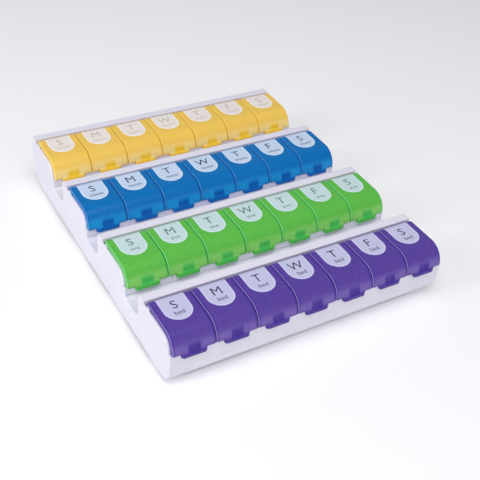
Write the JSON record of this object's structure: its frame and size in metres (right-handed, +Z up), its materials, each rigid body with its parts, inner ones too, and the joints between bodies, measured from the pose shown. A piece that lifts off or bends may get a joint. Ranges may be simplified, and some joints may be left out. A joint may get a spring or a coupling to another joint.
{
  "type": "weekly pill organizer",
  "caption": "Weekly pill organizer: white tray of seven-compartment rows, each compartment under its own hinged translucent lid with a finger lip.",
  "frame": {"origin": "on the table, under the middle of the box that holds the object", "axes": "+X runs along the week from Sunday to Saturday, +Y from the front (bedtime) row to the back (morning) row, +Z up"},
  "size_m": [0.2132, 0.2496, 0.0424],
  "materials": {
    "tray_white": "satin moulded polypropylene",
    "base_white": "satin moulded polypropylene",
    "lid_purple": "translucent tinted polypropylene, satin gloss",
    "lid_green": "translucent tinted polypropylene, satin gloss",
    "lid_blue": "translucent tinted polypropylene, satin gloss",
    "lid_yellow": "translucent tinted polypropylene, satin gloss",
    "label_film": "pale printed film label"
  },
  "bodies": {
    "tray": {"base_plate": "base_white", "tray_row_bed": "tray_white", "tray_row_eve": "tray_white", "tray_row_noon": "tray_white", "tray_row_morn": "tray_white", "tray_dividers_bed": "tray_white", "tray_dividers_eve": "tray_white", "tray_dividers_noon": "tray_white", "tray_dividers_morn": "tray_white", "tray_valley_bed_eve": "tray_white", "tray_valley_eve_noon": "tray_white", "tray_valley_noon_morn": "tray_white", "tray_end_wall_left": "tray_white", "tray_end_wall_right": "tray_white"},
    "lid_bed_sun": {"lid_bed_sun": "lid_purple"},
    "lid_bed_mon": {"lid_bed_mon": "lid_purple"},
    "lid_bed_tue": {"lid_bed_tue": "lid_purple"},
    "lid_bed_wed": {"lid_bed_wed": "lid_purple"},
    "lid_bed_thu": {"lid_bed_thu": "lid_purple"},
    "lid_bed_fri": {"lid_bed_fri": "lid_purple"},
    "lid_bed_sat": {"lid_bed_sat": "lid_purple"},
    "lid_eve_sun": {"lid_eve_sun": "lid_green"},
    "lid_eve_mon": {"lid_eve_mon": "lid_green"},
    "lid_eve_tue": {"lid_eve_tue": "lid_green"},
    "lid_eve_wed": {"lid_eve_wed": "lid_green"},
    "lid_eve_thu": {"lid_eve_thu": "lid_green"},
    "lid_eve_fri": {"lid_eve_fri": "lid_green"},
    "lid_eve_sat": {"lid_eve_sat": "lid_green"},
    "lid_noon_sun": {"lid_noon_sun": "lid_blue"},
    "lid_noon_mon": {"lid_noon_mon": "lid_blue"},
    "lid_noon_tue": {"lid_noon_tue": "lid_blue"},
    "lid_noon_wed": {"lid_noon_wed": "lid_blue"},
    "lid_noon_thu": {"lid_noon_thu": "lid_blue"},
    "lid_noon_fri": {"lid_noon_fri": "lid_blue"},
    "lid_noon_sat": {"lid_noon_sat": "lid_blue"},
    "lid_morn_sun": {"lid_morn_sun": "lid_yellow"},
    "lid_morn_mon": {"lid_morn_mon": "lid_yellow"},
    "lid_morn_tue": {"lid_morn_tue": "lid_yellow"},
    "lid_morn_wed": {"lid_morn_wed": "lid_yellow"},
    "lid_morn_thu": {"lid_morn_thu": "lid_yellow"},
    "lid_morn_fri": {"lid_morn_fri": "lid_yellow"},
    "lid_morn_sat": {"lid_morn_sat": "lid_yellow"}
  },
  "joints": [
    {"name": "hinge_bed_sun", "type": "hinge", "parent": "tray", "child": "lid_bed_sun", "pos_m": [-0.09, -0.0884, 0.0382], "axis": [-1, 0, 0], "range_deg": [0, 95]},
    {"name": "hinge_bed_mon", "type": "hinge", "parent": "tray", "child": "lid_bed_mon", "pos_m": [-0.06, -0.0884, 0.0382], "axis": [-1, 0, 0], "range_deg": [0, 95]},
    {"name": "hinge_bed_tue", "type": "hinge", "parent": "tray", "child": "lid_bed_tue", "pos_m": [-0.03, -0.0884, 0.0382], "axis": [-1, 0, 0], "range_deg": [0, 95]},
    {"name": "hinge_bed_wed", "type": "hinge", "parent": "tray", "child": "lid_bed_wed", "pos_m": [0, -0.0884, 0.0382], "axis": [-1, 0, 0], "range_deg": [0, 95]},
    {"name": "hinge_bed_thu", "type": "hinge", "parent": "tray", "child": "lid_bed_thu", "pos_m": [0.03, -0.0884, 0.0382], "axis": [-1, 0, 0], "range_deg": [0, 95]},
    {"name": "hinge_bed_fri", "type": "hinge", "parent": "tray", "child": "lid_bed_fri", "pos_m": [0.06, -0.0884, 0.0382], "axis": [-1, 0, 0], "range_deg": [0, 95]},
    {"name": "hinge_bed_sat", "type": "hinge", "parent": "tray", "child": "lid_bed_sat", "pos_m": [0.09, -0.0884, 0.0382], "axis": [-1, 0, 0], "range_deg": [0, 95]},
    {"name": "hinge_eve_sun", "type": "hinge", "parent": "tray", "child": "lid_eve_sun", "pos_m": [-0.09, -0.0214, 0.0382], "axis": [-1, 0, 0], "range_deg": [0, 95]},
    {"name": "hinge_eve_mon", "type": "hinge", "parent": "tray", "child": "lid_eve_mon", "pos_m": [-0.06, -0.0214, 0.0382], "axis": [-1, 0, 0], "range_deg": [0, 95]},
    {"name": "hinge_eve_tue", "type": "hinge", "parent": "tray", "child": "lid_eve_tue", "pos_m": [-0.03, -0.0214, 0.0382], "axis": [-1, 0, 0], "range_deg": [0, 95]},
    {"name": "hinge_eve_wed", "type": "hinge", "parent": "tray", "child": "lid_eve_wed", "pos_m": [0, -0.0214, 0.0382], "axis": [-1, 0, 0], "range_deg": [0, 95]},
    {"name": "hinge_eve_thu", "type": "hinge", "parent": "tray", "child": "lid_eve_thu", "pos_m": [0.03, -0.0214, 0.0382], "axis": [-1, 0, 0], "range_deg": [0, 95]},
    {"name": "hinge_eve_fri", "type": "hinge", "parent": "tray", "child": "lid_eve_fri", "pos_m": [0.06, -0.0214, 0.0382], "axis": [-1, 0, 0], "range_deg": [0, 95]},
    {"name": "hinge_eve_sat", "type": "hinge", "parent": "tray", "child": "lid_eve_sat", "pos_m": [0.09, -0.0214, 0.0382], "axis": [-1, 0, 0], "range_deg": [0, 95]},
    {"name": "hinge_noon_sun", "type": "hinge", "parent": "tray", "child": "lid_noon_sun", "pos_m": [-0.09, 0.0456, 0.0382], "axis": [-1, 0, 0], "range_deg": [0, 95]},
    {"name": "hinge_noon_mon", "type": "hinge", "parent": "tray", "child": "lid_noon_mon", "pos_m": [-0.06, 0.0456, 0.0382], "axis": [-1, 0, 0], "range_deg": [0, 95]},
    {"name": "hinge_noon_tue", "type": "hinge", "parent": "tray", "child": "lid_noon_tue", "pos_m": [-0.03, 0.0456, 0.0382], "axis": [-1, 0, 0], "range_deg": [0, 95]},
    {"name": "hinge_noon_wed", "type": "hinge", "parent": "tray", "child": "lid_noon_wed", "pos_m": [0, 0.0456, 0.0382], "axis": [-1, 0, 0], "range_deg": [0, 95]},
    {"name": "hinge_noon_thu", "type": "hinge", "parent": "tray", "child": "lid_noon_thu", "pos_m": [0.03, 0.0456, 0.0382], "axis": [-1, 0, 0], "range_deg": [0, 95]},
    {"name": "hinge_noon_fri", "type": "hinge", "parent": "tray", "child": "lid_noon_fri", "pos_m": [0.06, 0.0456, 0.0382], "axis": [-1, 0, 0], "range_deg": [0, 95]},
    {"name": "hinge_noon_sat", "type": "hinge", "parent": "tray", "child": "lid_noon_sat", "pos_m": [0.09, 0.0456, 0.0382], "axis": [-1, 0, 0], "range_deg": [0, 95]},
    {"name": "hinge_morn_sun", "type": "hinge", "parent": "tray", "child": "lid_morn_sun", "pos_m": [-0.09, 0.1126, 0.0382], "axis": [-1, 0, 0], "range_deg": [0, 95]},
    {"name": "hinge_morn_mon", "type": "hinge", "parent": "tray", "child": "lid_morn_mon", "pos_m": [-0.06, 0.1126, 0.0382], "axis": [-1, 0, 0], "range_deg": [0, 95]},
    {"name": "hinge_morn_tue", "type": "hinge", "parent": "tray", "child": "lid_morn_tue", "pos_m": [-0.03, 0.1126, 0.0382], "axis": [-1, 0, 0], "range_deg": [0, 95]},
    {"name": "hinge_morn_wed", "type": "hinge", "parent": "tray", "child": "lid_morn_wed", "pos_m": [0, 0.1126, 0.0382], "axis": [-1, 0, 0], "range_deg": [0, 95]},
    {"name": "hinge_morn_thu", "type": "hinge", "parent": "tray", "child": "lid_morn_thu", "pos_m": [0.03, 0.1126, 0.0382], "axis": [-1, 0, 0], "range_deg": [0, 95]},
    {"name": "hinge_morn_fri", "type": "hinge", "parent": "tray", "child": "lid_morn_fri", "pos_m": [0.06, 0.1126, 0.0382], "axis": [-1, 0, 0], "range_deg": [0, 95]},
    {"name": "hinge_morn_sat", "type": "hinge", "parent": "tray", "child": "lid_morn_sat", "pos_m": [0.09, 0.1126, 0.0382], "axis": [-1, 0, 0], "range_deg": [0, 95]}
  ]
}
